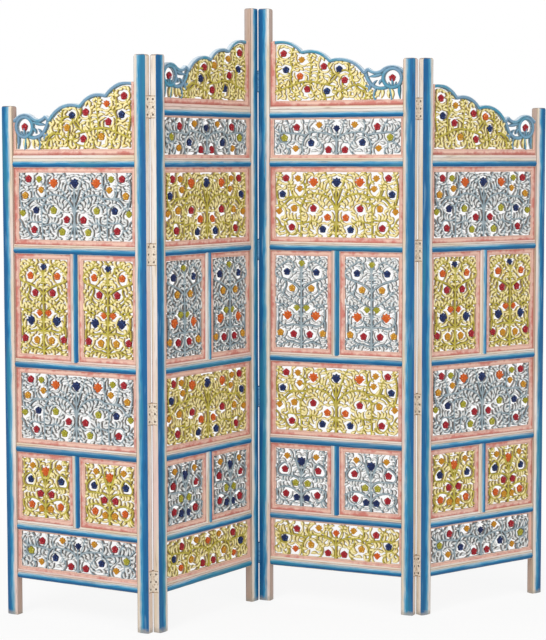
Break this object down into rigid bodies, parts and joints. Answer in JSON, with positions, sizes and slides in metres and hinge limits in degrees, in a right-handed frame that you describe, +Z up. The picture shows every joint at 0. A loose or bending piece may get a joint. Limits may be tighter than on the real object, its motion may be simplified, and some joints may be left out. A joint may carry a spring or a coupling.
{
  "type": "folding screen",
  "caption": "Free-standing carved jali folding screen with hinged panels, scalloped stepped crests and painted wooden frames.",
  "frame": {"origin": "centre of the overall box, on the floor", "axes": "+Z up, -Y towards the front of the screen, +X to the right seen from the front"},
  "size_m": [1.6622, 0.513, 1.829],
  "materials": {
    "post_wood": "painted blue and whitewash, worn",
    "rail_wood": "painted blue and whitewash, worn",
    "carved_yellow": "painted carving, yellow-green on pink",
    "carved_silver": "painted carving, silver-blue on pink",
    "hinge_leaf": "aged brass, part painted",
    "hinge_pin": "aged brass",
    "screw": "dull steel"
  },
  "bodies": {
    "panel_1": {"panel_1_bottom_jali": "carved_silver", "panel_1_crest_jali": "carved_yellow", "panel_1_left_post": "post_wood", "panel_1_middle_jali": "carved_silver", "panel_1_muntins": "rail_wood", "panel_1_rails": "rail_wood", "panel_1_right_post": "post_wood", "panel_1_screws": "screw", "panel_1_small_jalis": "carved_yellow", "panel_1_tall_jalis": "carved_yellow", "panel_1_top_rail": "rail_wood", "panel_1_upper_jali": "carved_silver", "fold_12_left_leaves": "hinge_leaf", "fold_12_pins": "hinge_pin"},
    "panel_2": {"panel_2_bottom_jali": "carved_yellow", "panel_2_crest_jali": "carved_yellow", "panel_2_left_post": "post_wood", "panel_2_middle_jali": "carved_yellow", "panel_2_muntins": "rail_wood", "panel_2_rails": "rail_wood", "panel_2_right_post": "post_wood", "panel_2_screws": "screw", "panel_2_small_jalis": "carved_silver", "panel_2_tall_jalis": "carved_silver", "panel_2_top_jali": "carved_silver", "panel_2_top_rail": "rail_wood", "panel_2_upper_jali": "carved_yellow", "fold_12_right_leaves": "hinge_leaf", "fold_23_left_leaves": "hinge_leaf", "fold_23_pins": "hinge_pin"},
    "panel_3": {"panel_3_bottom_jali": "carved_yellow", "panel_3_crest_jali": "carved_yellow", "panel_3_left_post": "post_wood", "panel_3_middle_jali": "carved_yellow", "panel_3_muntins": "rail_wood", "panel_3_rails": "rail_wood", "panel_3_right_post": "post_wood", "panel_3_screws": "screw", "panel_3_small_jalis": "carved_silver", "panel_3_tall_jalis": "carved_silver", "panel_3_top_jali": "carved_silver", "panel_3_top_rail": "rail_wood", "panel_3_upper_jali": "carved_yellow", "fold_23_right_leaves": "hinge_leaf", "fold_34_left_leaves": "hinge_leaf", "fold_34_pins": "hinge_pin"},
    "panel_4": {"panel_4_bottom_jali": "carved_silver", "panel_4_crest_jali": "carved_yellow", "panel_4_left_post": "post_wood", "panel_4_middle_jali": "carved_silver", "panel_4_muntins": "rail_wood", "panel_4_rails": "rail_wood", "panel_4_right_post": "post_wood", "panel_4_screws": "screw", "panel_4_small_jalis": "carved_yellow", "panel_4_tall_jalis": "carved_yellow", "panel_4_top_rail": "rail_wood", "panel_4_upper_jali": "carved_silver", "fold_34_right_leaves": "hinge_leaf"}
  },
  "joints": [
    {"name": "fold_12", "type": "hinge", "parent": "panel_2", "child": "panel_1", "pos_m": [-0.38393, -0.23701, 0.9], "axis": [0, 0, 1], "range_deg": [-93, 86]},
    {"name": "fold_23", "type": "hinge", "parent": "panel_2", "child": "panel_3", "pos_m": [-0.06593, 0.16679, 0.9], "axis": [0, 0, 1], "range_deg": [-82, 81]},
    {"name": "fold_34", "type": "hinge", "parent": "panel_3", "child": "panel_4", "pos_m": [0.40259, -0.04455, 0.9], "axis": [0, 0, 1], "range_deg": [-62.5, 116.5]}
  ]
}
